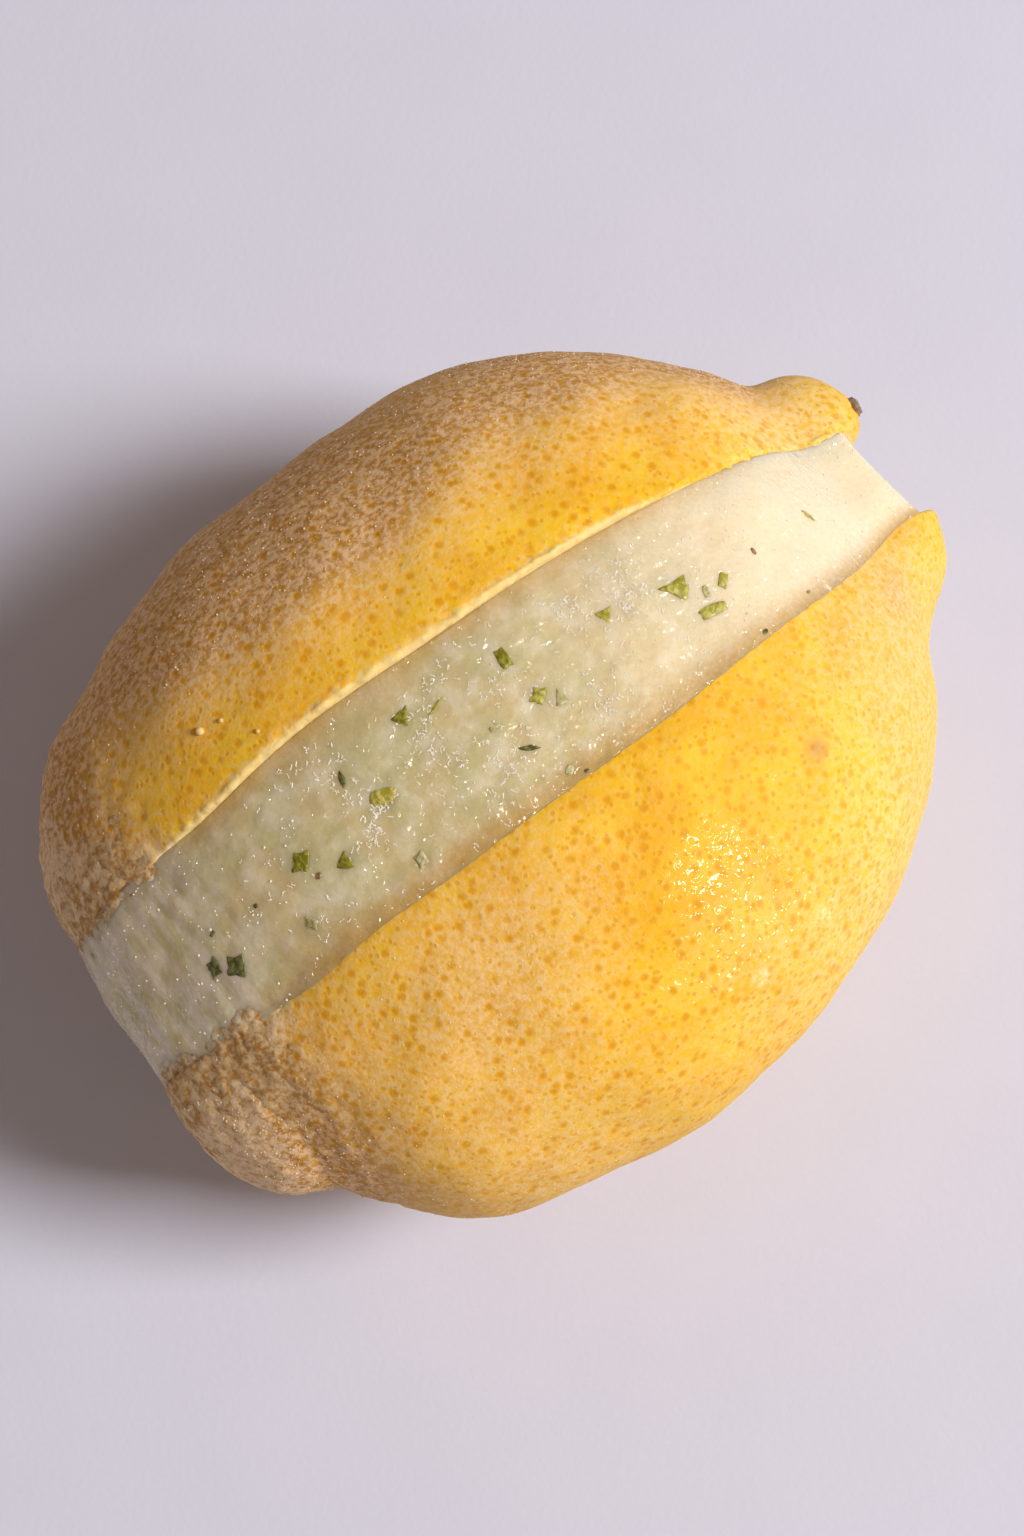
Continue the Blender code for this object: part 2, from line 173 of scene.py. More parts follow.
def rounded(values, reach, mirror):
    """A run of values averaged with its neighbours, and carried on past both ends as mirror times itself."""
    weight = np.hanning(2 * reach + 3)[1:-1]
    longer = np.concatenate([mirror * values[reach:0:-1], values, mirror * values[-2 : -reach - 2 : -1]])
    return np.convolve(longer, weight / weight.sum(), "valid")


def make_profile():
    """The outline above the axis from stem to tip: x, radius, outward normal and a walk from 0 to pi."""
    tip_x = BUTTON_X + BUTTON_LENGTH
    turn = np.linspace(0, math.pi, PROFILE_STEPS + 1)
    x = 0.5 * (STEM_X + tip_x) - 0.5 * (tip_x - STEM_X) * np.cos(turn)
    radius = skin_radius(x)
    radius[0] = radius[-1] = 0
    walked = np.concatenate([[0], np.cumsum(np.hypot(np.diff(x), np.diff(radius)))])
    even = np.linspace(0, walked[-1], PROFILE_STEPS + 1)
    reach = round(CORNER_ROUNDING / even[1])
    x = rounded(np.interp(even, walked, x), reach, 1)
    radius = rounded(np.interp(even, walked, radius), reach, -1)
    heading = np.unwrap(np.arctan2(np.gradient(radius), np.gradient(x)))
    pace = np.hypot(np.gradient(x), np.gradient(radius)) + BEND_SPACING * np.abs(np.gradient(heading))
    walk = np.concatenate([[0], np.cumsum(0.5 * (pace[1:] + pace[:-1]))])
    return x, radius, -np.sin(heading), np.cos(heading), math.pi * walk / walk[-1]


PROFILE_X, PROFILE_RADIUS, NORMAL_X, NORMAL_RADIUS, PROFILE_WALK = make_profile()


def profile_at(walk, raised):
    """x and radius on the outline at each point of the walk, raised from it along its normal."""
    x = np.interp(walk, PROFILE_WALK, PROFILE_X)
    radius = np.interp(walk, PROFILE_WALK, PROFILE_RADIUS)
    height = raised(x, radius)
    x = x + height * np.interp(walk, PROFILE_WALK, NORMAL_X)
    return x, np.maximum(radius + height * np.interp(walk, PROFILE_WALK, NORMAL_RADIUS), 0.0)


def round_rim_at(x):
    """The angle round the rim, over the top, at which the outline reaches x."""
    return float(np.interp(x, PROFILE_X, PROFILE_WALK))


def half_gap(x, side):
    """How far the rim on one side of the band stands from the middle line at x."""
    narrows = np.where(x > 0, NARROWS_TO_TIP, NARROWS_TO_STEM)
    return HALF_GAP - narrows * (x / HALF_LENGTH) ** 2 + along_lemon(x, RIM_SHIFTS[side])


def lumps(x, y, z):
    """The unevenness of a real lemon and of what fills it, as slow waves through space."""
    a, b, c = (2 * math.pi * value / LUMP_LENGTH for value in (x, y, z))
    return LUMP_HEIGHT * (np.sin(a + 1.6 * np.sin(0.7 * b)) + np.sin(0.8 * c + 1.1 * b + np.sin(0.9 * a)))


def placed(x, y, z):
    """Points of the frame, in metres, from mm along the lemon, left of its bowed middle and over its axis."""
    bow = BOW * (1 - ((x - WIDEST_X) / HALF_LENGTH) ** 2)
    return np.stack([x - MIDDLE_X, y + bow - MIDDLE_Y, np.maximum(AXIS_HEIGHT + z, 0.0)], -1) * MM


def directions(round_rim, up_flank):
    """The walk from the stem and the angle round the axis, from the angles round the rim and up the flank."""
    walk = np.arccos(np.clip(np.cos(up_flank) * np.cos(round_rim), -1, 1))
    return walk, np.arctan2(np.sin(up_flank), np.cos(up_flank) * np.sin(round_rim))


def rim_rounding(x, side):
    """Radius of the rim's edge at x: sharper under the stem's frost and softer at the tip."""
    sharper = RIM_SHARPER_AT_STEM * soft_step(x, RIMS_END_X, -RIMS_END_FADE)
    return RIM_ROUNDING[side] * (1 - sharper) + TIP_ROUNDING[side] * bell(x, HALF_LENGTH, TIP_ROUNDING_REACH)


def skin_points(round_rim, up_flank, side, inset=0.0, out=1.0):
    """Points of a half's skin. Inset and out are in units of the rim's rounding."""
    walk, around = directions(round_rim, up_flank)

    def raised(x, radius):
        height = along_lemon(x, SWELLINGS[side]) * np.sin(around) ** 2
        height = height + lumps(x, side * radius * np.sin(around), radius * np.cos(around))
        if side < 0:
            height = height + along_lemon(x, RIGHT_STEM_SWELLING)
        return height - inset * rim_rounding(x, side)

    x, radius = profile_at(walk, raised)
    y = side * (half_gap(x, side) + np.hypot(radius * np.sin(around), out * rim_rounding(x, side)))
    return placed(x, y, radius * np.cos(around))


def hollow_points(round_rim, up_flank, side, inset=0.0, out=0.0):
    """Points of the hollow in a half, or of the sorbet inset in it."""
    walk, around = directions(round_rim, up_flank)
    reach = np.where(walk < QUARTER, HOLLOW_TO_STEM, HOLLOW_TO_TIP) - inset
    radius = (HOLLOW_RADIUS - inset) * np.sin(walk)
    x = WIDEST_X - reach * np.cos(walk)
    return placed(x, side * (half_gap(x, side) + out + radius * np.sin(around)), radius * np.cos(around))


def band_points(round_rim, across):
    """Points of the band's outer surface, where across is -1 at the right rim and +1 at the left rim."""
    walk, around = directions(round_rim, 0.0)
    side = 1 if across > 0 else -1
    inward = 1 - across**2

    def raised(x, radius):
        under = UNDER_RIM[side] * soft_step(x, STEM_FLUSH_X[side], STEM_FLUSH_FADE)
        if side > 0:
            under = under * soft_step(x, LEFT_RIM_FLUSH_X, -FLUSH_FADE)
        height = lumps(x, across * inward * HALF_GAP, radius * np.cos(around)) + CROWN * inward
        bulge = along_lemon(x, STEM_BULGE) * (1 - STEM_BULGE_LEANS_RIGHT * across)
        return height - under * abs(across) ** 3 + bulge

    x, radius = profile_at(walk, raised)
    x = np.minimum(x, SORBET_TIP_X - SORBET_TIP_SLANT * across - SORBET_TIP_DIP * inward)
    y = across * (half_gap(x, side) + OVERLAP) + radius * np.sin(around)
    return placed(x, y, radius * np.cos(around))


def riding_piece(name, mesh):
    """The object of a mesh, which rides with the lemon."""
    piece = bpy.data.objects.new(name, mesh)
    bpy.context.scene.collection.objects.link(piece)
    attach(piece, "root")
    return piece


def ring_piece(name, rings, material):
    """A smooth piece from rings of points, the first and last shrunk to a point. Its faces look outwards."""
    count = len(rings[1])
    verts = np.concatenate([rings[0][:1], *rings[1:-1], rings[-1][:1]])
    here = np.arange(count)
    beside = (here + 1) % count
    faces = [(0, int(a) + 1, int(b) + 1) for a, b in zip(beside, here)]
    for ring in range(len(rings) - 3):
        low, high = 1 + ring * count, 1 + (ring + 1) * count
        faces += np.stack([low + here, low + beside, high + beside, high + here], -1).tolist()
    low = 1 + (len(rings) - 3) * count
    faces += [(len(verts) - 1, low + int(a), low + int(b)) for a, b in zip(here, beside)]

    mesh = bpy.data.meshes.new(name)
    mesh.from_pydata(verts.tolist(), [], faces)
    shape = bmesh.new()
    shape.from_mesh(mesh)
    bmesh.ops.remove_doubles(shape, verts=shape.verts, dist=1e-7)
    if shape.calc_volume(signed=True) < 0:
        bmesh.ops.reverse_faces(shape, faces=shape.faces)
    shape.to_mesh(mesh)
    shape.free()
    mesh.shade_smooth()
    mesh.materials.append(material)
    return riding_piece(name, mesh)


def linear(hex_colour):
    """An sRGB hex colour as linear red, green, blue and alpha."""
    parts = [int(hex_colour[k : k + 2], 16) / 255 for k in (1, 3, 5)]
    return (*(p / 12.92 if p <= 0.04045 else ((p + 0.055) / 1.055) ** 2.4 for p in parts), 1.0)


def set_inputs(tree, node, inputs):
    """Give each input of a node its value, its hex colour turned linear, or a link from another node."""
    for name, value in inputs.items():
        if isinstance(value, bpy.types.NodeSocket):
            tree.links.new(value, node.inputs[name])
        else:
            node.inputs[name].default_value = linear(value) if isinstance(value, str) else value


def add(tree, kind, inputs, output=0, **settings):
    """A node with its settings and links. Gives back the wanted output."""
    node = tree.nodes.new("ShaderNode" + kind)
    for name, value in settings.items():
        setattr(node, name, value)
    set_inputs(tree, node, inputs)
    return node.outputs[output]


def per_mm(size):
    """The texture scale that draws a pattern at a real size in mm."""
    return 1 / (size * MM)


def new_material(name):
    """A material with its tree, its shader and the place on the lemon, in metres."""
    material = bpy.data.materials.new(name)
    material.use_nodes = True
    tree = material.node_tree
    return material, tree, tree.nodes["Principled BSDF"], add(tree, "TexCoord", {}, "Object")


SOFT = {"interpolation_type": "SMOOTHSTEP"}
COLOUR = {"output": 2, "data_type": "RGBA"}
FELT = {"Scale": per_mm(FELT_CLUMP_SIZE), "Detail": 5.0, "Roughness": 0.68}


def frozen_lemon_rind():
    """Lemon rind, frozen: waxy yellow skin with soft-edged, deeper yellow oil pores, paler and grainy at the
    tips. Over it lies a dull felt of fine frost that leaves the pores free, peach where thin and tan where
    thick, the tan partly painted shade on the far half. The cut edge shows crumbly pale pith, and snowy rime
    whitens the stem end and, together with painted light, the stem's knob. Where frost has melted, a film of
    water shines in squiggles."""
    material, tree, shader, place = new_material("frozen_lemon_rind")
    masks = ("frost", "wet", "pale", "coarse", "pith", "scar", "rime")
    masks = [add(tree, "Attribute", {}, "Fac", attribute_name=name) for name in masks]
    frost, wet, pale, coarse, pith, scar, rime = masks
    felt = add(tree, "TexNoise", {"Vector": place, **FELT})
    cloud = add(tree, "TexNoise", {"Vector": place, "Scale": per_mm(5.0), "Detail": 3.0})
    wobble = add(tree, "TexNoise", {"Vector": place, "Scale": per_mm(1.1)}, "Color")
    bent = {0: wobble, 1: (0.4 * MM, 0.4 * MM, 0.4 * MM), 2: place}
    bent = add(tree, "VectorMath", bent, operation="MULTIPLY_ADD")

    # Oil pores of two sizes.
    big = add(tree, "TexVoronoi", {"Vector": bent, "Scale": per_mm(BIG_PORE_SPACING)})
    reach = BIG_PORE_RADIUS / BIG_PORE_SPACING
    big = {"Value": big, "From Min": 1.1 * reach, "From Max": 0.25 * reach, "To Max": coarse}
    big = add(tree, "MapRange", big, **SOFT)
    small = add(tree, "TexVoronoi", {"Vector": bent, "Scale": per_mm(SMALL_PORE_SPACING)})
    reach = SMALL_PORE_RADIUS / SMALL_PORE_SPACING
    small = {"Value": small, "From Min": reach, "From Max": 0.45 * reach, "To Max": 0.7}
    small = add(tree, "MapRange", small, **SOFT)
    pore = add(tree, "Math", {0: big, 1: small}, operation="MAXIMUM")

    # The film of frost: patchy where thin, closed where thick, gone where wet and in the pores.
    uneven = add(tree, "Math", {0: felt, 1: 0.5}, operation="SUBTRACT")
    contrast = add(tree, "MapRange", {"Value": frost, "From Min": 0.15, "From Max": 0.5, "To Min": 0.55})
    film = add(tree, "Math", {0: uneven, 1: contrast, 2: frost}, operation="MULTIPLY_ADD")
    film = add(tree, "Math", {0: wet, 1: -0.35, 2: film}, operation="MULTIPLY_ADD")
    film = add(tree, "MapRange", {"Value": film, "From Min": 0.01, "From Max": 0.55}, **SOFT)
    bare = add(tree, "MapRange", {"Value": pore, "To Min": 1.0, "To Max": 0.1})
    film = add(tree, "Math", {0: film, 1: bare}, operation="MULTIPLY")

    # Colours, from the skin up: pores, frost with some painted shade, scar, pith, and rime with painted light
    # on the knob.
    shade = add(tree, "MapRange", {"Value": cloud, "From Min": 0.35, "From Max": 0.65})
    skin = add(tree, "Mix", {0: shade, 6: "#F4B513", 7: "#FBC922"}, **COLOUR)
    needles = add(tree, "MapRange", {"Value": felt, "From Min": 0.38, "From Max": 0.6}, **SOFT)
    grains = add(tree, "Mix", {0: needles, 6: "#FCCB58", 7: "#FFE8AC"}, **COLOUR)
    skin = add(tree, "Mix", {0: pale, 6: skin, 7: grains}, **COLOUR)
    # Where frost is thick the film turns tan and the pores darker; on the far half this is partly painted
    # shade.
    thick_and_shaded = add(tree, "MapRange", {"Value": frost, "From Min": 0.3, "From Max": 0.6}, **SOFT)
    oil = add(tree, "Mix", {0: thick_and_shaded, 6: "#E59C0A", 7: "#B87614"}, **COLOUR)
    deep = add(tree, "Math", {0: pore, 1: 0.85}, operation="MULTIPLY")
    skin = add(tree, "Mix", {0: deep, 6: skin, 7: oil}, **COLOUR)
    tan = add(tree, "Mix", {0: needles, 6: "#BF8840", 7: "#EDC598"}, **COLOUR)
    peach = add(tree, "Mix", {0: needles, 6: "#F2BE6E", 7: "#F7CE8C"}, **COLOUR)
    hoar = add(tree, "Mix", {0: thick_and_shaded, 6: peach, 7: tan}, **COLOUR)
    skin = add(tree, "Mix", {0: film, 6: skin, 7: hoar}, **COLOUR)
    skin = add(tree, "Mix", {0: scar, 6: skin, 7: "#C08F62"}, **COLOUR)
    crumb = add(tree, "TexNoise", {"Vector": place, "Scale": per_mm(0.6), "Detail": 4.0})
    edge = add(tree, "Math", {0: crumb, 1: 1.6, 2: pith}, operation="MULTIPLY_ADD")
    edge = add(tree, "MapRange", {"Value": edge, "From Min": 0.95, "From Max": 1.8}, **SOFT)
    skin = add(tree, "Mix", {0: edge, 6: skin, 7: "#F7DA96"}, **COLOUR)
    # Rime whitens the stem end; on the knob it is partly painted light.
    rime_and_knob_light = add(tree, "Math", {0: felt, 1: 1.2, 2: rime}, operation="MULTIPLY_ADD")
    rime_and_knob_light = add(tree, "MapRange", {"Value": rime_and_knob_light, "From Min": 0.8, "From Max": 1.5}, **SOFT)
    skin = add(tree, "Mix", {0: rime_and_knob_light, 6: skin, 7: "#FADDB6"}, **COLOUR)

    # Fine relief under the frost, and the film of water with its own ripple.
    gain = add(tree, "MapRange", {"Value": frost, "To Min": 0.9, "To Max": 1.8})
    relief = add(tree, "Math", {0: felt, 1: gain}, operation="MULTIPLY")
    relief = add(tree, "Math", {0: pore, 1: -0.4, 2: relief}, operation="MULTIPLY_ADD")
    normal = add(tree, "Bump", {"Height": relief, "Strength": 0.6, "Distance": 0.16 * MM})
    ripple = add(tree, "TexNoise", {"Vector": place, "Scale": per_mm(1.0), "Detail": 1.0})
    ripple = add(tree, "Bump", {"Height": ripple, "Distance": 0.8 * MM})
    water = add(tree, "Math", {0: cloud, 1: 1.5, 2: wet}, operation="MULTIPLY_ADD")
    water = add(tree, "MapRange", {"Value": water, "From Min": 1.0, "From Max": 1.4}, **SOFT)
    dull = add(tree, "MapRange", {"Value": film, "To Min": 0.5, "To Max": 0.85})
    look = {
        "Base Color": skin,
        "Roughness": dull,
        "Normal": normal,
        "IOR": 1.4,
        "Specular IOR Level": 0.2,
        "Subsurface Weight": 0.15,
        "Subsurface Radius": (1.0, 0.5, 0.1),
        "Subsurface Scale": 1.5 * MM,
        "Coat Weight": water,
        "Coat Roughness": 0.12,
        "Coat Normal": ripple,
    }
    set_inputs(tree, shader, look)
    return material


def icy_sorbet():
    """Lemon sorbet, scraped level and refrozen: cloudy cream and faint green ice that lets light in a few
    millimetres, whiter where air froze in, with yellow-brown painted shade beside the rims, under a wet glaze
    that breaks into small glints. Rime lies on it in white threads at the stem end."""
    material, tree, shader, place = new_material("icy_lemon_sorbet")
    masks = ("cream", "rim_shade", "stem")
    cream, rim_shade, stem = [add(tree, "Attribute", {}, "Fac", attribute_name=name) for name in masks]
    cloud = add(tree, "TexNoise", {"Vector": place, "Scale": per_mm(6.0), "Detail": 4.0})
    patch = add(tree, "TexNoise", {"Vector": place, "Scale": per_mm(2.4), "Detail": 5.0})
    speck = add(tree, "TexNoise", {"Vector": place, "Scale": per_mm(0.45), "Detail": 3.0})
    drawn = add(tree, "VectorMath", {0: place, 1: (1.0, 0.16, 0.16)}, operation="MULTIPLY")
    threads = add(tree, "TexNoise", {"Vector": drawn, "Scale": per_mm(0.7), "Detail": 3.0})

    green = add(tree, "MapRange", {"Value": cloud, "From Min": 0.38, "From Max": 0.62}, **SOFT)
    ice = add(tree, "Mix", {0: green, 6: "#D9C696", 7: "#D0C796"}, **COLOUR)
    air = add(tree, "MapRange", {"Value": patch, "From Min": 0.38, "From Max": 0.75}, **SOFT)
    ice = add(tree, "Mix", {0: air, 6: ice, 7: "#E8DFC4"}, **COLOUR)
    ice = add(tree, "Mix", {0: cream, 6: ice, 7: "#FBEBCE"}, **COLOUR)
    white = {"Value": threads, "From Min": 0.4, "From Max": 0.62, "To Max": stem}
    white = add(tree, "MapRange", white, **SOFT)
    ice = add(tree, "Mix", {0: white, 6: ice, 7: "#E6D8C2"}, **COLOUR)
    # Painted shade: the ice turns yellow-brown beside the rims and at the stem end.
    shaded_sorbet = add(tree, "Math", {0: speck, 1: 0.5, 2: rim_shade}, operation="MULTIPLY_ADD")
    shaded_sorbet = add(tree, "MapRange", {"Value": shaded_sorbet, "From Min": 0.25, "From Max": 1.25})
    ice = add(tree, "Mix", {0: shaded_sorbet, 6: ice, 7: "#C8953E"}, **COLOUR)

    relief = add(tree, "Math", {0: patch, 1: 2.0, 2: speck}, operation="MULTIPLY_ADD")
    normal = add(tree, "Bump", {"Height": relief, "Strength": 0.5, "Distance": 0.12 * MM})
    glaze = add(tree, "TexNoise", {"Vector": place, "Scale": per_mm(1.5), "Detail": 2.0, "Distortion": 0.6})
    glaze = add(tree, "Bump", {"Height": glaze, "Distance": 1.3 * MM})
    wet = add(tree, "MapRange", {"Value": cloud, "From Min": 0.4, "From Max": 0.6, "To Min": 0.3}, **SOFT)
    look = {
        "Base Color": ice,
        "Roughness": 0.5,
        "Normal": normal,
        "IOR": 1.33,
        "Subsurface Weight": 0.8,
        "Subsurface Radius": (1.0, 0.85, 0.55),
        "Subsurface Scale": 3.0 * MM,
        "Coat Weight": wet,
        "Coat Roughness": 0.06,
        "Coat Normal": glaze,
    }
    set_inputs(tree, shader, look)
    return material


def chopped_leaf(name, dark, light):
    """Chopped green leaf under ice: uneven olive with paler veins, wet where the ice has softened."""
    material, tree, shader, place = new_material(name)
    veins = add(tree, "TexNoise", {"Vector": place, "Scale": per_mm(0.5), "Detail": 3.0})
    veins = add(tree, "MapRange", {"Value": veins, "From Min": 0.36, "From Max": 0.64}, **SOFT)
    look = {
        "Base Color": add(tree, "Mix", {0: veins, 6: dark, 7: light}, **COLOUR),
        "Normal": add(tree, "Bump", {"Height": veins, "Strength": 0.5, "Distance": 0.12 * MM}),
        "Roughness": 0.35,
        "Subsurface Weight": 0.2,
        "Subsurface Radius": (1.0, 0.9, 0.2),
        "Subsurface Scale": 0.5 * MM,
    }
    set_inputs(tree, shader, look)
    return material


def white_ice(name, colour, roughness):
    """Grains of ice and needles of frost: white, with the colour of what shines through them. On the sorbet
    the white of the grains and threads is partly painted glints.
    """
    material, tree, shader, place = new_material(name)
    milk = add(tree, "TexNoise", {"Vector": place, "Scale": per_mm(0.4)})
    look = {
        "Base Color": add(tree, "Mix", {0: milk, 6: colour, 7: "#FFFDF8"}, **COLOUR),
        "Roughness": roughness,
        "IOR": 1.31,
    }
    set_inputs(tree, shader, look)
    return material


def stem_frost():
    """Frost over the join of peel and sorbet: a dull felt, tan over the rind and greyer over the sorbet."""
    material, tree, shader, place = new_material("frost_on_the_join")
    over_sorbet = add(tree, "Attribute", {}, "Fac", attribute_name="over_sorbet")
    felt = add(tree, "TexNoise", {"Vector": place, **FELT})
    needles = add(tree, "MapRange", {"Value": felt, "From Min": 0.38, "From Max": 0.62}, **SOFT)
    tan = add(tree, "Mix", {0: needles, 6: "#BE863E", 7: "#ECC696"}, **COLOUR)
    grey = add(tree, "Mix", {0: needles, 6: "#C6B38C", 7: "#EADFC8"}, **COLOUR)
    side = add(tree, "Math", {0: felt, 1: 1.0, 2: over_sorbet}, operation="MULTIPLY_ADD")
    side = add(tree, "MapRange", {"Value": side, "From Min": 0.95, "From Max": 1.6}, **SOFT)
    look = {
        "Base Color": add(tree, "Mix", {0: side, 6: tan, 7: grey}, **COLOUR),
        "Normal": add(tree, "Bump", {"Height": felt, "Strength": 0.5, "Distance": 0.2 * MM}),
        "Roughness": 0.85,
        "Subsurface Weight": 0.4,
        "Subsurface Radius": (1.0, 0.8, 0.5),
        "Subsurface Scale": 1.0 * MM,
    }
    set_inputs(tree, shader, look)
    return material


def clear_ice():
    """A frozen drop of water: milky with the rind's colour in it, smooth and bright in the light."""
    material, tree, shader, place = new_material("clear_ice_drop")
    frosting = add(tree, "TexNoise", {"Vector": place, "Scale": per_mm(0.5)})
    look = {
        "Base Color": add(tree, "Mix", {0: frosting, 6: "#E0A84C", 7: "#F8E0AC"}, **COLOUR),
        "Roughness": add(tree, "MapRange", {"Value": frosting, "To Min": 0.02, "To Max": 0.12}),
        "IOR": 1.31,
        "Subsurface Weight": 0.7,
        "Subsurface Radius": (1.0, 0.8, 0.4),
        "Subsurface Scale": 1.0 * MM,
    }
    set_inputs(tree, shader, look)
    return material


def corky_scar():
    """The dry scar where the blossom sat: corky, dull and grey-brown."""
    material, tree, shader, place = new_material("corky_brown_scar")
    cork = add(tree, "TexNoise", {"Vector": place, "Scale": per_mm(0.5), "Detail": 3.0})
    look = {
        "Base Color": add(tree, "Mix", {0: cork, 6: "#6A574A", 7: "#AE9A86"}, **COLOUR),
        "Normal": add(tree, "Bump", {"Height": cork, "Strength": 0.8, "Distance": 0.2 * MM}),
        "Roughness": 0.85,
    }
    set_inputs(tree, shader, look)
    return material


def table_paper():
    """A pale matt surface with a faint tooth. Its fibres, too fine to show, are drawn 0.8 mm wide."""
    material, tree, shader, place = new_material("pale_table")
    mottle = add(tree, "TexNoise", {"Vector": place, "Scale": per_mm(14.0), "Detail": 3.0})
    tooth = add(tree, "TexNoise", {"Vector": place, "Scale": per_mm(0.8), "Detail": 3.0})
    look = {
        "Base Color": add(tree, "Mix", {0: mottle, 6: "#D4D6EC", 7: "#DADBF1"}, **COLOUR),
        "Normal": add(tree, "Bump", {"Height": tooth, "Strength": 0.25, "Distance": 0.1 * MM}),
        "Roughness": 0.9,
    }
    set_inputs(tree, shader, look)
    return material


def points_of(piece, what="co"):
    """The points of a piece, or their normals."""
    found = np.zeros((len(piece.data.vertices), 3), np.float32)
    piece.data.vertices.foreach_get(what, found.ravel())
    return found


def place_along(points):
    """The mm along the lemon of each point."""
    return points[:, 0].astype(float) / MM + MIDDLE_X


def for_each_point(values):
    """The values of a ring piece's rings as values of its points."""
    return np.repeat(values, [1] + [ROUND_THE_RIM] * (len(values) - 2) + [1])


def soft_noise(points, size):
    """Smooth noise of a real size in mm at each point, from about -1 to 1."""
    return np.array([noise.noise(point) for point in (points / (size * MM)).tolist()])


def raise_points(piece, height):
    """Move each point of a piece along its normal by a height in mm."""
    moved = points_of(piece) + points_of(piece, "normal") * (height * MM)[:, None]
    moved[:, 2] = np.maximum(moved[:, 2], 0)
    piece.data.vertices.foreach_set("co", moved.astype(np.float32).ravel())
    piece.data.update()


def skin_tree(piece):
    """A piece's faces, for finding places on them."""
    verts = [vert.co.copy() for vert in piece.data.vertices]
    return BVHTree.FromPolygons(verts, [list(face.vertices) for face in piece.data.polygons])


def paint(piece, name, values):
    """Write one value for each point of a piece, for its material to read."""
    attribute = piece.data.attributes.new(name, "FLOAT", "POINT")
    attribute.data.foreach_set("value", np.asarray(values, np.float32))


def values_of(piece, name):
    """The values painted on a piece."""
    found = np.zeros(len(piece.data.vertices), np.float32)
    piece.data.attributes[name].data.foreach_get("value", found)
    return found


def spots(x, flank, base, patches):
    """A base value with soft patches added to it, between 0 and 1."""
    total = np.full_like(x, base)
    for at, up, reach, reach_up, amount in patches:
        total += amount * bell(x, at, reach) * bell(flank, up, reach_up)
    return np.clip(total, 0, 1)


def make_half(name, node, side, rind):
    """One half of the lemon: pitted skin, rounded rim, pale cut face and the hollow."""
    around = np.linspace(0, 2 * math.pi, ROUND_THE_RIM, endpoint=False)
    flanks = 1 - np.arange(SKIN_RINGS) / SKIN_RINGS
    rows = [(skin_points(around, QUARTER * flank, side), flank, 0.0) for flank in flanks]
    for turn in np.linspace(0, QUARTER, RIM_RINGS):
        edge = skin_points(around, 0.0, side, 1 - math.cos(turn), 1 - math.sin(turn))
        rows.append((edge, 0.0, math.sin(turn)))
    hollow = hollow_points(around, 0.0, side)
    rows += [(edge + (hollow - edge) * share, 0.0, 1.0) for share in np.linspace(0, 1, FACE_RINGS + 1)[1:]]
    flanks = QUARTER * np.arange(1, HOLLOW_RINGS + 1) / HOLLOW_RINGS
    rows += [(hollow_points(around, flank, side), 0.0, 1.0) for flank in flanks]
    rings, flanks, cuts = zip(*rows)
    piece = ring_piece(name, rings, rind)

    points = points_of(piece)
    x, flank, cut = place_along(points), for_each_point(flanks), for_each_point(cuts)
    for mask, patches in MASKS.items():
        paint(piece, mask, spots(x, flank, *patches[side]))
    at_stem = soft_step(x, RIMS_END_X, -RIMS_END_FADE)
    pith = cut + PITH_BESIDE_CUT * np.exp(-flank / PITH_REACH)
    shows = (1 - at_stem) * soft_step(x, FAR_RIM_MERGES_X, -FAR_RIM_MERGES_FADE) if side > 0 else 0
    paint(piece, "pith", np.where(cut > CUT_FROM, 1.0, np.clip(pith * shows, 0, 1)))
    # Rime at the stem end beside the rim, and on the knob rime with painted light that lightens it.
    rime = at_stem * np.exp(-flank / RIME_REACH) + KNOB_LIGHT_AND_FROST * soft_step(x, KNOB_LIGHT_AND_FROST_X, -KNOB_LIGHT_AND_FROST_FADE)
    paint(piece, "rime", np.clip(rime, 0, RIME_MOST))
    skin = np.clip(flank / SKIN_STARTS, 0, 1) * (cut == 0)
    paint(piece, "relief", skin)

    shown = cut < CUT_FROM
    height = PEBBLE_HEIGHT * soft_noise(points, PEBBLE_SIZE) * skin
    crumbs = RIM_CRUMB_HEIGHT[side] * soft_noise(points, RIM_CRUMB_SIZE)
    height += crumbs * np.exp(-flank / RIM_CRUMB_REACH) * shown
    height += STEM_RIME_HEIGHT * soft_noise(points, STEM_RIME_SIZE) * at_stem * shown
    if side < 0:
        height -= KNOB_GROOVE_DEPTH * skin * bell(x, KNOB_GROOVE_X, KNOB_GROOVE_REACH)
        folds = KNOB_FOLD_HEIGHT * soft_noise(points * KNOB_FOLD_STRETCH, KNOB_FOLD_SIZE)
        height += folds * skin * bell(x, KNOB_GROOVE_X, KNOB_FOLDS_REACH)
    raise_points(piece, height)
    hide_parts(node)
    return piece


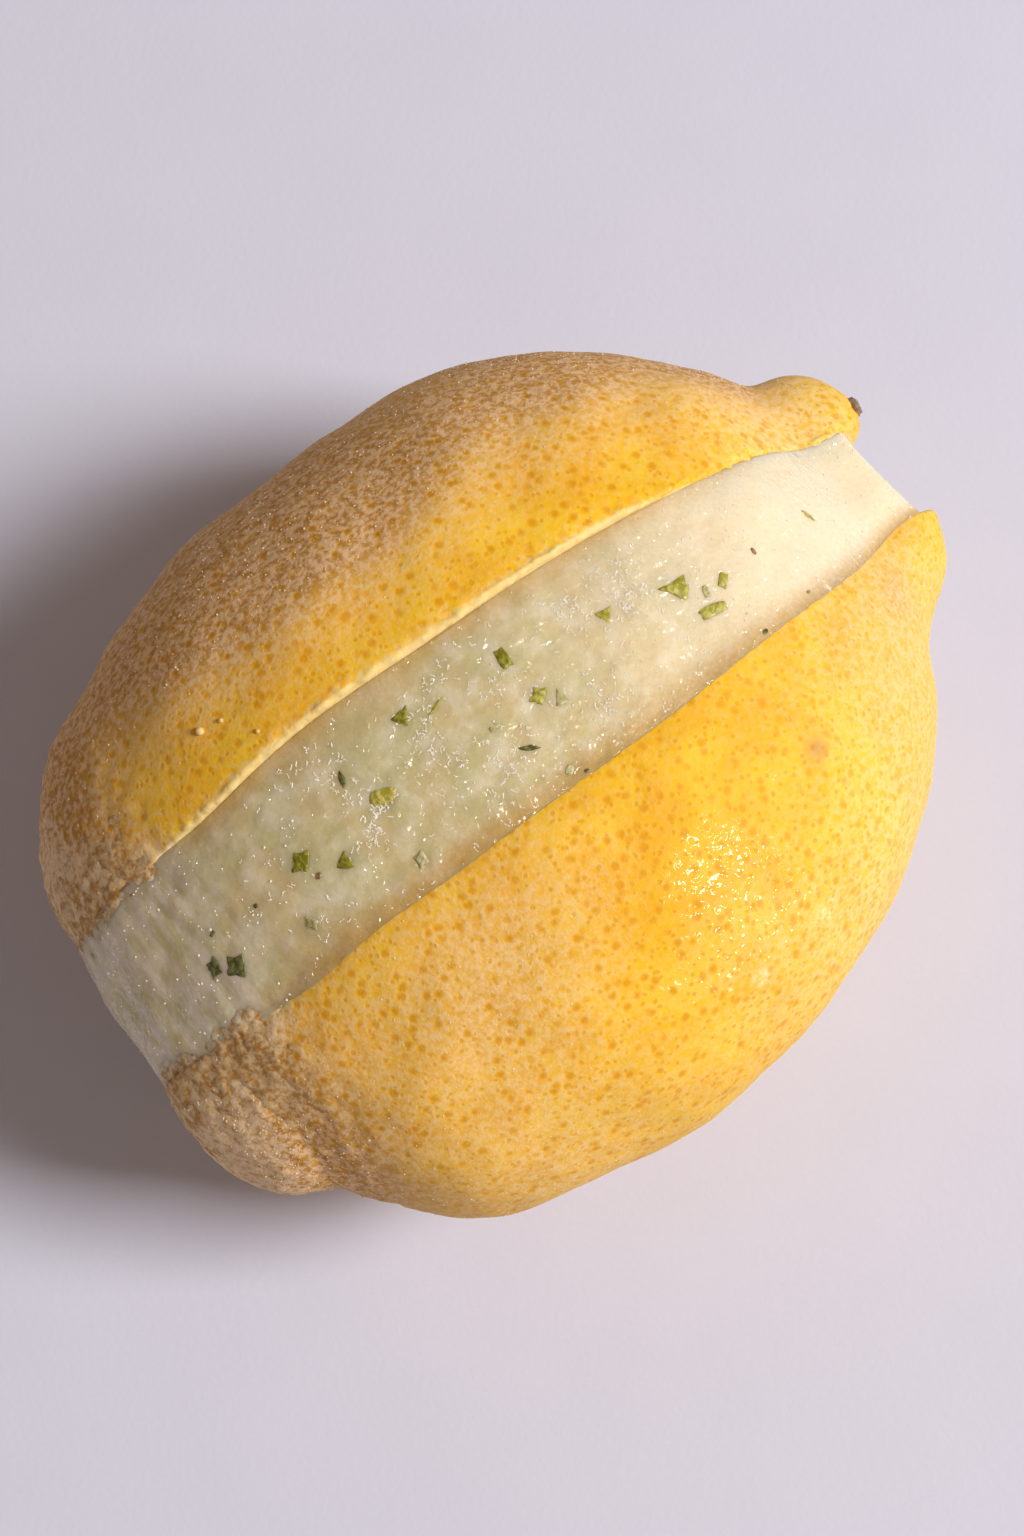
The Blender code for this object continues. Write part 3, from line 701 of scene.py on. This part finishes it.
def make_filling(ice):
    """The sorbet: the band with its icy surface, and the filling of both hollows."""
    around = np.linspace(0, 2 * math.pi, ROUND_THE_RIM, endpoint=False)

    def filled(side):
        """Rings of the filling in one hollow, from the rim inwards."""
        flanks = QUARTER * np.arange(HOLLOW_RINGS + 1) / HOLLOW_RINGS
        outs = [0.0 if flank else OVERLAP for flank in flanks]
        rings = [hollow_points(around, flank, side, CLEARANCE, out) for flank, out in zip(flanks, outs)]
        return [(ring, side, 0.0) for ring in rings]

    band = [(band_points(around, across), across, 1.0) for across in np.linspace(-1, 1, BAND_RINGS + 1)]
    rings, acrosses, shown = zip(*filled(-1)[::-1], *band, *filled(1))
    piece = ring_piece("sorbet_filling", rings, ice)

    points = points_of(piece)
    x, across, shown = place_along(points), for_each_point(acrosses), for_each_point(shown)
    stem = soft_step(x, RIMS_END_X, -STEM_ICE_FADE)
    # Painted shade beside both rims and at the stem end.
    middle = (1 - stem) * soft_step(x, RIM_SHADE_ENDS_X, -RIM_SHADE_FADE)
    rim_shade = RIM_SHADE_FAR[1] * bell(across, 1, RIM_SHADE_FAR[0]) * middle
    rim_shade += RIM_SHADE_NEAR[1] * bell(across, -1, RIM_SHADE_NEAR[0]) * (1 - stem)
    rim_shade += RIM_SHADE_STEM[1] * bell(np.abs(across), 1, RIM_SHADE_STEM[0]) * stem
    paint(piece, "rim_shade", np.clip(rim_shade, 0, 1))
    paint(piece, "cream", soft_step(x, CREAM_X, CREAM_FADE))
    paint(piece, "stem", stem)
    shown = shown * np.clip((1 - np.abs(across)) / BAND_EDGE, 0, 1)
    # White grains: frost crystals at the stem end, and grains as painted glints all over and in clumps.
    clumps = [bell(x, at, CLUMP_REACH) * bell(across, over, CLUMP_WIDTH) for at, over in GLINT_CLUMPS]
    frost_and_glint_grains = GRAINS_ALL_OVER + GRAINS_IN_GLINT_CLUMPS * sum(clumps) + CRYSTALS_AT_STEM * stem
    paint(piece, "frost_and_glint_grains", shown * frost_and_glint_grains)
    # Painted glints: white threads of ice in clusters over the middle of the band.
    clusters = np.clip(soft_noise(points, GLINT_CLUSTER_SIZE) + GLINTS_BETWEEN_CLUSTERS, 0, 1) ** 2
    glints = clusters * soft_step(x, GLINTS_FROM_X, GLINTS_FADE) * soft_step(x, GLINTS_TO_X, -GLINTS_FADE)
    glints = glints * np.exp(-((across / GLINTS_REACH) ** 4)) * (points[:, 2] > GLINTS_ABOVE * MM)
    paint(piece, "glints", shown * glints)

    rough = 1 - SMOOTHED * soft_step(x, SMOOTH_X, SMOOTH_FADE)
    height = ICE_LUMP_HEIGHT * soft_noise(points, ICE_LUMP_SIZE) * rough
    height += ICE_GRAIN_HEIGHT * soft_noise(points, ICE_GRAIN_SIZE) * rough
    height += STEM_RIME_HEIGHT * soft_noise(points * STEM_RIME_STRETCH, STEM_RIME_SIZE) * stem
    raise_points(piece, height * shown)
    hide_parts("sorbet")
    return piece


# The frost over the join starts at this x and reaches this far up the flank and across the band. Its cover
# thins to both sides and towards the tip, and its clumps have a size and a height, all in mm.
RIME_FROM_X, RIME_UP_FLANK, RIME_TO_ACROSS, RIME_ROWS, RIME_COLUMNS = -31.0, 0.3, 0.62, 22, 300
RIME_COVER, RIME_THINS_TO_SIDES, RIME_THINS_TO_TIP = 0.1, 0.5, 0.6
RIME_ENDS_X, RIME_ENDS_FADE, RIME_CLUMPS = RIMS_END_X - 1.5, 0.8, ((1.8, 0.25), (0.8, 0.16))
RIME_LOWEST, RIME_HIGHEST, RIME_THICKNESS, RIME_TURNS_GREY = -0.3, 0.25, 0.2, 0.8


def make_stem_rime(name, side, rime):
    """Frost over the join of peel and sorbet at the stem end, which hides the rim there."""
    end = round_rim_at(RIME_FROM_X)
    around = np.linspace(-end, end, RIME_COLUMNS)
    rows = [skin_points(around, flank, side) for flank in np.linspace(RIME_UP_FLANK, 0, RIME_ROWS)]
    acrosses = side * np.linspace(1, RIME_TO_ACROSS, RIME_ROWS + 1)[1:]
    rows += [band_points(around, across) for across in acrosses]
    here = (np.arange(RIME_COLUMNS - 1) + np.arange(len(rows) - 1)[:, None] * RIME_COLUMNS).ravel()
    faces = np.stack([here, here + 1, here + 1 + RIME_COLUMNS, here + RIME_COLUMNS], -1)[:, ::-side]
    mesh = bpy.data.meshes.new(name)
    mesh.from_pydata(np.concatenate(rows).tolist(), [], faces.tolist())
    mesh.shade_smooth()
    mesh.materials.append(rime)
    piece = riding_piece(name, mesh)

    points = points_of(piece)
    row = np.repeat(np.linspace(-1, 1, len(rows)), RIME_COLUMNS)
    to_tip = soft_step(place_along(points), RIME_ENDS_X, RIME_ENDS_FADE)
    thins = RIME_THINS_TO_SIDES * row**2 + RIME_THINS_TO_TIP * to_tip
    height = RIME_COVER - thins + sum(high * soft_noise(points, size) for size, high in RIME_CLUMPS)
    paint(piece, "over_sorbet", np.clip(0.5 + RIME_TURNS_GREY * row, 0, 1))
    raise_points(piece, np.clip(height, RIME_LOWEST, RIME_HIGHEST))
    piece.modifiers.new("thickness", "SOLIDIFY").thickness = RIME_THICKNESS * MM
    return piece


# Outlines of the leaf flecks: the angle and reach of each corner.
OUTLINES = {
    "triangle": ((0, 0.56), (22, 0.36), (115, 0.52), (180, 0.3), (245, 0.55), (338, 0.34)),
    "oval": ((0, 0.5), (45, 0.48), (95, 0.42), (140, 0.5), (180, 0.47), (225, 0.5), (270, 0.44), (315, 0.5)),
    "block": ((28, 0.56), (90, 0.36), (148, 0.55), (190, 0.42), (215, 0.56), (275, 0.34), (330, 0.56)),
    "lobed": ((0, 0.5), (40, 0.33), (75, 0.52), (120, 0.32), (160, 0.5), (205, 0.3), (250, 0.52), (305, 0.34)),
    "sliver": ((0, 0.55), (60, 0.3), (180, 0.52), (225, 0.36), (300, 0.3)),
}
# Their finishes, and the flecks on top: mm along the lemon, place across the band, length, width, turn in
# degrees, outline and finish.
LEAVES = (
    ("leaf_fresh_green", "#77730C", "#A09A34"),
    ("leaf_olive", "#9C9628", "#C2BA58"),
    ("leaf_yellow_green", "#A89C2E", "#D2C66C"),
    ("leaf_under_ice", "#ADA56A", "#CDC498"),
    ("leaf_dark", "#4C4E20", "#7C7C48"),
    ("brown_speck", "#8A6A45", "#A98B60"),
)
TOP_FLECKS = (
    (16.0, 0.00, 3.3, 2.6, 150, "triangle", 1),
    (17.5, -0.40, 2.9, 1.6, -10, "block", 1),
    (20.0, -0.20, 1.6, 1.3, 40, "block", 1),
    (18.0, -0.20, 1.2, 1.0, 70, "block", 3),
    (9.0, 0.20, 1.9, 1.6, 20, "triangle", 1),
    (-1.0, 0.40, 2.0, 1.6, 85, "block", 0),
    (-11.5, 0.50, 2.2, 1.8, 35, "triangle", 0),
    (-8.5, 0.40, 1.9, 0.7, 20, "sliver", 1),
    (-17.0, 0.00, 2.7, 1.7, -15, "oval", 2),
    (-19.0, 0.35, 1.7, 1.1, 70, "sliver", 4),
    (-0.5, -0.10, 2.1, 1.7, 10, "lobed", 1),
    (1.0, -0.25, 1.9, 1.4, 75, "triangle", 3),
    (-4.0, -0.45, 2.0, 1.1, -35, "sliver", 4),
    (-17.5, -0.70, 1.8, 1.4, 60, "lobed", 3),
    (-26.0, -0.05, 2.8, 2.0, 25, "lobed", 0),
    (-23.0, -0.30, 2.0, 1.8, 60, "triangle", 0),
    (-28.5, -0.55, 1.8, 1.2, 100, "lobed", 3),
    (-37.6, -0.33, 2.3, 1.7, 60, "lobed", 4),
    (-36.0, -0.45, 2.7, 2.5, 30, "lobed", 4),
    (32.0, -0.05, 1.7, 0.8, 115, "sliver", 1),
    (-5.5, -0.10, 0.9, 0.7, 0, "block", 3),
    (24.5, -0.10, 0.8, 0.5, 80, "oval", 5),
    (20.5, -0.93, 0.7, 0.5, 10, "oval", 4),
    (27.0, -0.85, 0.5, 0.4, 0, "oval", 5),
    (-36.0, -0.05, 0.8, 0.4, 20, "oval", 4),
    (-31.5, -0.10, 0.5, 0.5, 0, "oval", 4),
    (-25.5, -0.25, 0.7, 0.6, 30, "oval", 5),
    (-1.0, -0.95, 0.5, 0.4, 0, "oval", 4),
    (-2.2, -0.85, 1.1, 0.9, 30, "oval", 3),
)
# The flecks out of sight: how many, where they lie round the rim and across, their length and narrowness.
HIDDEN_FLECKS, HIDDEN_ROUND_RIM, HIDDEN_ACROSS = 26, ((3.3, 4.2), (5.2, 6.2)), (-0.8, 0.8)
HIDDEN_LENGTH, HIDDEN_NARROWER, FLECK_SEED = (0.8, 2.4), (0.6, 0.9), 11
TEARS_AT, TEAR, TEAR_BETWEEN_CORNERS = (0.0, 0.33, 0.67), (0.9, 1.08), 0.05
# The layers of a fleck, from its underside to its crown: share of its outline, and height in thicknesses.
FLECK_THICKNESS, FLECK_LAYERS = 0.09, ((1.0, -0.5), (1.0, 0.3), (0.88, 1.0), (0.45, 1.2), (0.0, 1.0))
PROBE_STEP, DROPPED_FROM = 0.02, 3.0


def torn(outline, length, width, rng):
    """The corners of a scrap of leaf in mm, with torn edges between the corners of its outline."""
    corners = [
        (reach * length * math.cos(math.radians(angle)), reach * width * math.sin(math.radians(angle)))
        for angle, reach in outline
    ]
    ragged = []
    for here, there in zip(corners, corners[1:] + corners[:1]):
        for share in TEARS_AT:
            tear = rng.uniform(*TEAR) + (TEAR_BETWEEN_CORNERS if share else 0.0)
            ragged.append([tear * (a + (b - a) * share) for a, b in zip(here, there)])
    return ragged


def make_flecks(surface, leaves):
    """Scraps of leaf on the band: flat ragged pieces that follow the ice."""
    rng = random.Random(FLECK_SEED)
    flecks = [(round_rim_at(row[0]), *row[1:]) for row in TOP_FLECKS]
    for _ in range(HIDDEN_FLECKS):
        place = rng.choice([rng.uniform(*span) for span in HIDDEN_ROUND_RIM]), rng.uniform(*HIDDEN_ACROSS)
        length = rng.uniform(*HIDDEN_LENGTH)
        outline = rng.choice(sorted(OUTLINES))
        width = length * rng.uniform(*HIDDEN_NARROWER)
        flecks.append((*place, length, width, rng.uniform(0, 360), outline, rng.randrange(5)))
    shape = bmesh.new()
    for round_rim, across, length, width, turn, outline, leaf in flecks:
        spin = math.radians(turn)
        middle = Vector(band_points(round_rim, across))
        along = (Vector(band_points(round_rim + PROBE_STEP, across)) - middle).normalized()
        over = Vector(band_points(round_rim, across + PROBE_STEP)) - middle
        up = along.cross(over).normalized()
        if up.z < 0 and math.sin(round_rim) > 0 or up.z > 0 and math.sin(round_rim) < 0:
            up = -up
        over = up.cross(along)
        corners = [
            (a * math.cos(spin) - b * math.sin(spin), a * math.sin(spin) + b * math.cos(spin))
            for a, b in torn(OUTLINES[outline], length, width, rng)
        ]
        rows = []
        for share, lift in FLECK_LAYERS:
            row = []
            for a, b in corners if share else [(0, 0)]:
                spot = middle + (along * a + over * b) * share * MM
                hit = surface.ray_cast(spot + up * DROPPED_FROM * MM, -up)
                base = hit[0] if hit[0] else spot
                row.append(shape.verts.new(base + up * lift * FLECK_THICKNESS * MM))
            rows.append(row)
        faces = []
        for low, high in zip(rows, rows[1:]):
            for k in range(len(low)):
                after = (k + 1) % len(low)
                upper = (high[after], high[k]) if len(high) > 1 else (high[0],)
                faces.append(shape.faces.new((low[k], low[after], *upper)))
        faces.append(shape.faces.new(rows[0][::-1]))
        for face in faces:
            face.material_index = leaf
            face.smooth = True
    bmesh.ops.recalc_face_normals(shape, faces=shape.faces)
    mesh = bpy.data.meshes.new("leaf_flecks")
    shape.to_mesh(mesh)
    shape.free()
    for leaf in leaves:
        mesh.materials.append(leaf)
    return riding_piece("leaf_flecks", mesh)


# Loose ice: how many grains, their smallest and largest size in mm, the seed, and how many lie in one chain.
# On the sorbet the white grains and chains are partly painted glints.
ICE_AND_GLINT_GRAINS, GLINT_THREADS = (900, (0.08, 0.24), 5, 1), (3000, (0.08, 0.17), 6, 5)
FROST_NEEDLES = {1: (3500, (0.07, 0.18), 20, 1), -1: (1500, (0.07, 0.18), 21, 1)}
# How far a grain's corners stand out, its stretch and how far it strays in mm, then the step in mm and the
# bend of a chain, and the height over the table, in mm, from which grains lie.
GRAIN_CORNERS, GRAIN_STRETCH, GRAIN_STRAYS = (0.7, 1.25), (0.7, 1.5), (-0.2, 0.2)
CHAIN_STEP, CHAIN_BEND, GRAINS_ABOVE = 0.12, 0.7, 1.5


def scatter_grains(name, host, weights, material, slot, count, sizes, seed, chain):
    """Rough grains of ice half sunk into a piece where weights are high, singly or in winding chains."""
    rng = np.random.default_rng(seed)
    place, normal = points_of(host), points_of(host, "normal")
    weights = weights * (place[:, 2] > GRAINS_ABOVE * MM)
    chosen = rng.choice(len(place), count, p=weights / weights.sum())
    shape = bmesh.new()
    bmesh.ops.create_icosphere(shape, subdivisions=1, radius=0.5)
    ball = np.array([vert.co for vert in shape.verts])
    corners = np.array([[vert.index for vert in face.verts] for face in shape.faces])
    shape.free()
    size = rng.uniform(*sizes, (count, 1, 1)) * MM
    grain = ball * rng.uniform(*GRAIN_CORNERS, (count, len(ball), 1)) * size
    grain = grain * rng.uniform(*GRAIN_STRETCH, (count, 1, 3))
    shift = rng.uniform(*GRAIN_STRAYS, (count, 3)) * MM
    if chain > 1:
        chosen = np.repeat(chosen[::chain], chain)[:count]
        turn = rng.uniform(0, 2 * math.pi, (count // chain, 1))
        turn = turn + rng.normal(0, CHAIN_BEND, (count // chain, chain)).cumsum(1)
        steps = np.stack([np.cos(turn), np.sin(turn), 0 * turn], -1)
        shift = CHAIN_STEP * MM * steps.cumsum(1).reshape(-1, 3)
    shift -= (shift * normal[chosen]).sum(1, keepdims=True) * normal[chosen]
    places = place[chosen] + shift
    if chain > 1:
        skin = skin_tree(host)
        places = np.array([skin.find_nearest(Vector(place))[0] for place in places])
    verts = grain + places[:, None]
    faces = corners + len(ball) * np.arange(count)[:, None, None]
    mesh = bpy.data.meshes.new(name)
    mesh.from_pydata(verts.reshape(-1, 3).tolist(), [], faces.reshape(-1, 3).tolist())
    mesh.materials.append(material)
    return riding_piece(name, mesh)


# Beads on the rind, in mm: where each lies, its size, and how rough it is as a share of its radius.
ICE_DROPS = (((-26.1, 16.1, 50.1), 0.8), ((-24.0, 15.6, 50.8), 0.45), ((-22.0, 12.5, 52.2), 0.45))
BLOSSOM_SCAR_AT, BLOSSOM_SCAR_SIZE = (46.6, 9.8, 30.3), (1.0, 2.0, 1.7)
DROP_ROUGHNESS, BLOSSOM_SCAR_ROUGHNESS, BEAD_STANDS_OUT, BEAD_LUMP_SIZE = 0.05, 0.35, 0.2, 0.25


def make_bead(name, host, at, size, roughness, material):
    """A small rounded piece on the rind near a place."""
    place, normal = skin_tree(host).find_nearest(Vector(at) * MM)[:2]
    middle = place + normal * (BEAD_STANDS_OUT * size[0] * MM)
    shape = bmesh.new()
    bmesh.ops.create_icosphere(shape, subdivisions=3, radius=MM / 2)
    for vert in shape.verts:
        vert.co *= 1 + roughness * noise.noise(vert.co / (BEAD_LUMP_SIZE * MM))
        vert.co = vert.co * Vector(size) + middle
    mesh = bpy.data.meshes.new(name)
    shape.to_mesh(mesh)
    shape.free()
    mesh.shade_smooth()
    mesh.materials.append(material)
    return riding_piece(name, mesh)


TABLE_SIZE = 4.0


def make_table():
    """A plain pale floor."""
    bpy.ops.mesh.primitive_plane_add(size=TABLE_SIZE, location=(0, 0, 0))
    floor = bpy.context.object
    floor.name = "table"
    floor.data.materials.append(table_paper())


# The camera looks almost straight down from the lemon's right side: degrees, mm, and mm of lens and sensor.
CAMERA_TURN, CAMERA_TILT, CAMERA_DISTANCE, CAMERA_LENS, CAMERA_SENSOR = -36.12, 76.964, 357.0, 85.94, 36.0
CAMERA_AIMS_AT, CAMERA_SEES = Vector((-1.974, 0.794, 27.18)) * MM, (0.01, 10.0)


def make_camera():
    """A camera at the photograph's angle."""
    turn, tilt = math.radians(CAMERA_TURN), math.radians(CAMERA_TILT)
    back = Vector((math.sin(turn) * math.cos(tilt), -math.cos(turn) * math.cos(tilt), math.sin(tilt)))
    right = Vector((math.cos(turn), math.sin(turn), 0))
    up = back.cross(right)
    camera = bpy.data.objects.new("camera", bpy.data.cameras.new("camera"))
    facing = Matrix((right, up, back)).transposed().to_4x4()
    camera.matrix_world = Matrix.Translation(CAMERA_AIMS_AT + back * CAMERA_DISTANCE * MM) @ facing
    camera.data.lens = CAMERA_LENS
    camera.data.sensor_width = CAMERA_SENSOR
    camera.data.clip_start, camera.data.clip_end = CAMERA_SEES
    bpy.context.scene.collection.objects.link(camera)
    bpy.context.scene.camera = camera
    return right, up


# The window light, in metres and watts, and the strength of the even fill.
WINDOW_RIGHT, WINDOW_DOWN, WINDOW_HEIGHT, WINDOW_SIZE, WINDOW_POWER = 1.05, 0.08, 1.12, (0.45, 0.65), 24.0
FILL_STRENGTH = 0.265


def make_lights(right, up):
    """A large soft window light from the picture's right, and a weak even fill."""
    lamp = bpy.data.lights.new("window", "AREA")
    lamp.shape, lamp.energy = "RECTANGLE", WINDOW_POWER
    lamp.size, lamp.size_y = WINDOW_SIZE
    lamp.color = linear("#FFFBF4")[:3]
    window = bpy.data.objects.new("window", lamp)
    bpy.context.scene.collection.objects.link(window)
    window.location = right * WINDOW_RIGHT - up * WINDOW_DOWN + Vector((0, 0, WINDOW_HEIGHT))
    window.rotation_euler = (window.location - CAMERA_AIMS_AT).to_track_quat("Z", "Y").to_euler()
    world = bpy.data.worlds.new("studio")
    world.use_nodes = True
    fill = world.node_tree.nodes["Background"].inputs
    fill["Color"].default_value = linear("#EED9C6")
    fill["Strength"].default_value = FILL_STRENGTH
    bpy.context.scene.world = world
    bpy.context.scene.view_settings.view_transform = "Standard"


def main():
    rind, drop = frozen_lemon_rind(), clear_ice()
    left = make_half("lemon_half_left", "peel_left", 1, rind)
    right = make_half("lemon_half_right", "peel_right", -1, rind)
    filling = make_filling(icy_sorbet())
    rime = stem_frost()
    make_stem_rime("stem_rime_left", 1, rime)
    make_stem_rime("stem_rime_right", -1, rime)
    make_flecks(skin_tree(filling), [chopped_leaf(*leaf) for leaf in LEAVES])
    # White grains on the sorbet: frost crystals at the stem end, and painted glints elsewhere.
    frost_and_glint_grains = white_ice("white_ice_and_painted_glints", "#EDE6D8", 0.25)
    weights = values_of(filling, "frost_and_glint_grains")
    scatter_grains("sorbet_ice_and_glint_grains", filling, weights, frost_and_glint_grains, "sorbet", *ICE_AND_GLINT_GRAINS)
    # White threads of ice as painted glints on the sorbet.
    glint_white = white_ice("white_threads_painted_glints", "#F6EEDC", 0.12)
    weights = values_of(filling, "glints")
    scatter_grains("sorbet_painted_glint_threads", filling, weights, glint_white, "sorbet", *GLINT_THREADS)
    needles = white_ice("tan_frost_needles", "#DDB684", 0.6)
    for name, half, side in (("frost_left", left, 1), ("frost_right", right, -1)):
        frost = values_of(half, "frost") ** 3 * values_of(half, "relief")
        scatter_grains(name, half, frost, needles, "peel", *FROST_NEEDLES[side])
    for number, (place, size) in enumerate(ICE_DROPS):
        make_bead(f"ice_drop_{number}", left, place, (size, size, size), DROP_ROUGHNESS, drop)
    scar = corky_scar()
    make_bead("blossom_scar", left, BLOSSOM_SCAR_AT, BLOSSOM_SCAR_SIZE, BLOSSOM_SCAR_ROUGHNESS, scar)
    camera_right, camera_up = make_camera()
    make_lights(camera_right, camera_up)
    make_table()


main()
